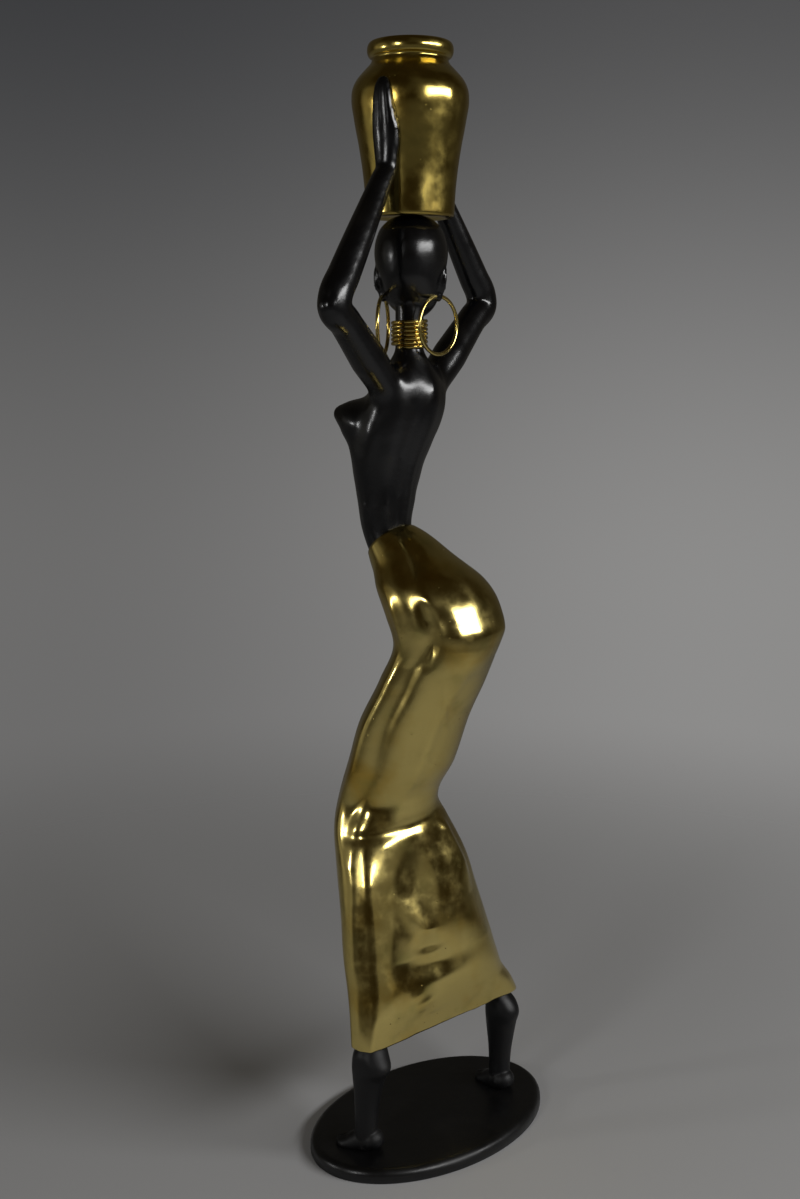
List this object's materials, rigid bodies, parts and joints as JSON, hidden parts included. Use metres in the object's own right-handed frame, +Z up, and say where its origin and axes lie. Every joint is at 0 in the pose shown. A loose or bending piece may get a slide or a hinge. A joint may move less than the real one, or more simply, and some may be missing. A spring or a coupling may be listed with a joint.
{
  "type": "brass and black figure of a woman carrying a jar",
  "caption": "Tall slender standing woman in black and polished brass, in a long skirt, both hands steadying a hollow brass jar on her head, on an oval base.",
  "frame": {"origin": "centre of the oval base's underside", "axes": "+Z up, the figure faces -Y, her left side is +X, the base's long axis runs along X"},
  "size_m": [0.3155, 0.1996, 1.1595],
  "materials": {
    "base_black": "black patina, satin, a little worn",
    "black_patina": "black patina on cast metal, satin with soft highlights",
    "polished_brass": "polished cast brass with light tarnish and small casting pits"
  },
  "bodies": {
    "root": {"base": "base_black", "leg_left": "black_patina", "leg_right": "black_patina", "upper_figure": "black_patina", "skirt": "polished_brass", "neck_coil": "polished_brass", "earring_left": "polished_brass", "earring_right": "polished_brass", "jar": "polished_brass"}
  },
  "joints": []
}
